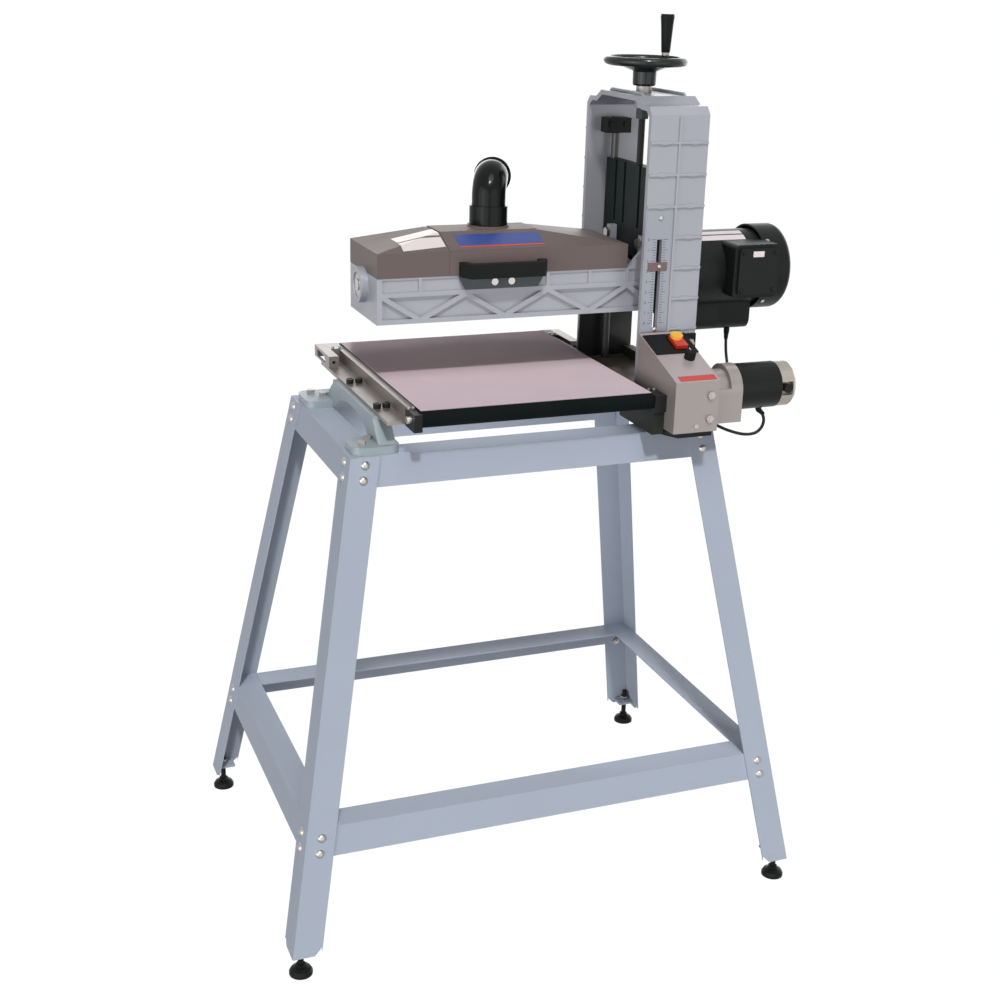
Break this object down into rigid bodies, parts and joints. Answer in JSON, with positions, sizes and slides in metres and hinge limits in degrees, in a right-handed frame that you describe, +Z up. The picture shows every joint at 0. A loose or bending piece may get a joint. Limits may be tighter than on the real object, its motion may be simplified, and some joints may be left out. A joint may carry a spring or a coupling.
{
  "type": "drum thickness sander",
  "caption": "Open-end drum thickness sander with a conveyor belt, a crank-raised head and a splayed steel stand with levelling feet.",
  "frame": {"origin": "on the floor under the middle of the whole machine", "axes": "+Z up; +X along the drum, towards the column and motor; -Y towards the operator"},
  "size_m": [1.0149, 0.6918, 1.534],
  "materials": {
    "stand_paint": "satin",
    "zinc": "satin",
    "silver_cast": "satin",
    "green_cast": "satin",
    "black_cast": "satin",
    "black_steel": "satin",
    "black_plastic": "satin",
    "elbow_plastic": "gloss",
    "cover_paint": "satin",
    "box_paint": "satin",
    "belt": "matte",
    "abrasive": "rough",
    "steel": "satin",
    "aluminium": "satin",
    "motor_paint": "satin",
    "winding": "matte",
    "bell": "satin",
    "yellow_key": "gloss",
    "red_paddle": "gloss",
    "scale": "satin",
    "lead": "matte",
    "red_pointer": "satin"
  },
  "bodies": {
    "frame": {"stand_legs": "stand_paint", "top_rails": "stand_paint", "lower_rails": "stand_paint", "stand_fasteners": "zinc", "arch_bracket": "green_cast", "base_casting": "black_cast", "machine_bolts": "zinc", "column_casting": "silver_cast", "scale_plate": "scale", "guide_rods": "steel", "conveyor_belt": "belt", "conveyor_bed": "steel", "rail_left": "aluminium", "rail_right": "black_steel", "roller_blocks": "black_steel", "take_up_brackets": "aluminium", "control_box": "box_paint", "control_bracket": "black_steel", "control_panel": "black_plastic", "feed_gearbox": "box_paint", "feed_motor": "motor_paint", "feed_motor_end_bell": "bell", "feed_motor_lead": "lead", "motor_lead": "lead", "lead_glands": "black_plastic"},
    "foot_fl": {"foot_front_left": "black_plastic"},
    "foot_fr": {"foot_front_right": "black_plastic"},
    "foot_bl": {"foot_back_left": "black_plastic"},
    "foot_br": {"foot_back_right": "black_plastic"},
    "head": {"head_casting": "silver_cast", "carriage": "black_cast", "pointer": "red_pointer", "head_bolts": "zinc", "drum_bearings": "steel", "motor_adapter": "black_cast", "motor_housing": "motor_paint", "motor_stator": "winding", "fan_cover": "motor_paint", "junction_box": "motor_paint", "capacitor_cover": "motor_paint", "cover_hardware": "zinc"},
    "crank": {"height_screw": "steel", "handwheel": "black_cast", "crank_hardware": "zinc"},
    "crank_grip_body": {"crank_grip": "black_plastic"},
    "drum_body": {"drum": "aluminium", "abrasive_wrap": "abrasive", "drum_shaft": "steel", "coupling": "steel", "motor_rotor": "winding"},
    "cover": {"dust_cover": "cover_paint", "cover_handle": "black_plastic", "hinge_moving": "zinc"},
    "elbow": {"dust_elbow": "elbow_plastic"},
    "drive_roller_body": {"drive_roller": "steel"},
    "idler_roller_body": {"idler_roller": "steel"},
    "knob": {"speed_knob": "black_plastic"},
    "paddle": {"switch_paddle": "red_paddle"},
    "key": {"safety_key": "yellow_key"}
  },
  "joints": [
    {"name": "foot_fl_screw", "type": "hinge", "parent": "frame", "child": "foot_fl", "pos_m": [-0.48749, -0.32588, 0], "axis": [0, 0, 1], "continuous": true},
    {"name": "foot_fr_screw", "type": "hinge", "parent": "frame", "child": "foot_fr", "pos_m": [0.42228, -0.32588, 0], "axis": [0, 0, 1], "continuous": true},
    {"name": "foot_bl_screw", "type": "hinge", "parent": "frame", "child": "foot_bl", "pos_m": [-0.48749, 0.32588, 0], "axis": [0, 0, 1], "continuous": true},
    {"name": "foot_br_screw", "type": "hinge", "parent": "frame", "child": "foot_br", "pos_m": [0.42228, 0.32588, 0], "axis": [0, 0, 1], "continuous": true},
    {"name": "crank_spin", "type": "hinge", "parent": "frame", "child": "crank", "pos_m": [0.2234, 0, 1.417], "axis": [0, 0, 1], "range_deg": [0, 20400]},
    {"name": "head_slide", "type": "slide", "parent": "frame", "child": "head", "axis": [0, 0, 1], "range_m": [-0.09, 0], "deforming": ["motor_lead"]},
    {"name": "grip_spin", "type": "hinge", "parent": "crank", "child": "crank_grip_body", "pos_m": [0.27895, 0.03471, 1.47], "axis": [0, 0, 1], "continuous": true},
    {"name": "drum_spin", "type": "hinge", "parent": "head", "child": "drum_body", "pos_m": [-0.0326, 0, 1.095], "axis": [1, 0, 0], "continuous": true},
    {"name": "cover_hinge", "type": "hinge", "parent": "head", "child": "cover", "pos_m": [-0.0326, 0.084, 1.121], "axis": [-1, 0, 0], "range_deg": [0, 100]},
    {"name": "elbow_swivel", "type": "hinge", "parent": "cover", "child": "elbow", "pos_m": [-0.0506, 0.02, 1.2], "axis": [0, 0, 1], "continuous": true},
    {"name": "drive_roller_spin", "type": "hinge", "parent": "frame", "child": "drive_roller_body", "pos_m": [-0.0326, -0.2357, 0.9237], "axis": [1, 0, 0], "continuous": true},
    {"name": "idler_roller_spin", "type": "hinge", "parent": "frame", "child": "idler_roller_body", "pos_m": [-0.0326, 0.2357, 0.9237], "axis": [1, 0, 0], "continuous": true},
    {"name": "knob_turn", "type": "hinge", "parent": "frame", "child": "knob", "pos_m": [0.2304, -0.215, 0.98605], "axis": [0, -0.3298, 0.9441], "range_deg": [0, 300]},
    {"name": "paddle_tilt", "type": "hinge", "parent": "frame", "child": "paddle", "pos_m": [0.2294, -0.17332, 1.00485], "axis": [1, 0, 0], "range_deg": [0, 8]},
    {"name": "key_pull", "type": "slide", "parent": "paddle", "child": "key", "axis": [0, -0.3298, 0.9441], "range_m": [0, 0.03]}
  ],
  "couplings": [
    {"joint": "head_slide", "follows": "crank_spin", "m_per_rad": -0.00025266},
    {"joint": "idler_roller_spin", "follows": "drive_roller_spin", "ratio": 1}
  ]
}
